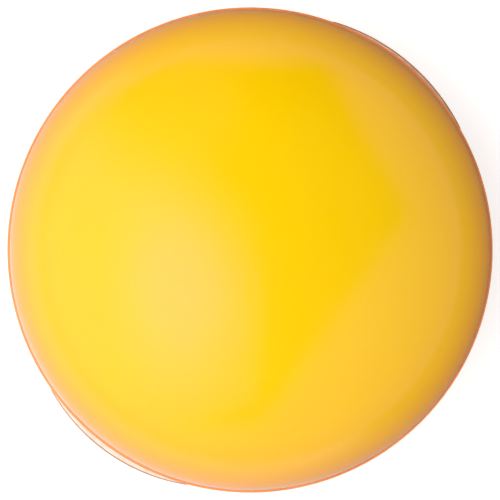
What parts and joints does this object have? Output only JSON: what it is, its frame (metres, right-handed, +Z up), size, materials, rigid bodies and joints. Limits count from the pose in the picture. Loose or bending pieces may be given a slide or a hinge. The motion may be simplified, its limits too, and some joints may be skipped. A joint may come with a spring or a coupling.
{
  "type": "curling stone",
  "caption": "Domed handle-free curling stone that rolls on a floor, with a split casing, striking band, finger grips, cast ballast and ball transfer units beneath.",
  "frame": {"origin": "on the floor, under the centre of the stone, at the height of the main balls' lowest points", "axes": "+Z up the stone's axis through the crown of the dome, +Y the way the stone rolls, +X to its right"},
  "size_m": [0.2, 0.2, 0.105],
  "materials": {
    "shell_yellow": "glossy moulded casing",
    "band_amber": "satin, slightly translucent elastomer",
    "grip_coral": "soft matt elastomer with ridges",
    "seal_black": "matt",
    "ballast_iron": "as cast, black stove paint",
    "pad_foam": "closed-cell foam",
    "screw_steel": "zinc plated",
    "insert_brass": "turned and knurled",
    "plug_black": "matt",
    "glide_white": "low-friction polyethylene",
    "housing_black": "moulded acetal",
    "cap_steel": "pressed and plated",
    "cup_steel": "hardened and ground",
    "ball_steel": "polished bearing steel",
    "felt_grey": "pressed wool felt"
  },
  "bodies": {
    "stone": {"top_shell": "shell_yellow", "bottom_shell": "shell_yellow", "striking_band": "band_amber", "thumb_grip": "grip_coral", "finger_grip": "grip_coral", "seam_seal": "seal_black", "ballast_weight": "ballast_iron", "ballast_pad": "pad_foam", "ballast_bolts": "screw_steel", "ballast_washers": "screw_steel", "ballast_inserts": "insert_brass", "case_screws": "screw_steel", "case_inserts": "insert_brass", "screw_plugs": "plug_black", "glide_ring": "glide_white", "unit_screws": "screw_steel", "unit_housing_1": "housing_black", "bearing_cup_1": "cup_steel", "support_balls_1": "ball_steel", "retainer_cap_1": "cap_steel", "felt_seal_1": "felt_grey", "unit_housing_2": "housing_black", "bearing_cup_2": "cup_steel", "support_balls_2": "ball_steel", "retainer_cap_2": "cap_steel", "felt_seal_2": "felt_grey", "unit_housing_3": "housing_black", "bearing_cup_3": "cup_steel", "support_balls_3": "ball_steel", "retainer_cap_3": "cap_steel", "felt_seal_3": "felt_grey"},
    "ball_1": {"main_ball_1": "ball_steel"},
    "ball_2": {"main_ball_2": "ball_steel"},
    "ball_3": {"main_ball_3": "ball_steel"}
  },
  "joints": [
    {"name": "roll_1", "type": "hinge", "parent": "stone", "child": "ball_1", "pos_m": [0, 0.05, 0.00794], "axis": [1, 0, 0], "continuous": true},
    {"name": "roll_2", "type": "hinge", "parent": "stone", "child": "ball_2", "pos_m": [-0.0433, -0.025, 0.00794], "axis": [1, 0, 0], "continuous": true},
    {"name": "roll_3", "type": "hinge", "parent": "stone", "child": "ball_3", "pos_m": [0.0433, -0.025, 0.00794], "axis": [1, 0, 0], "continuous": true}
  ]
}
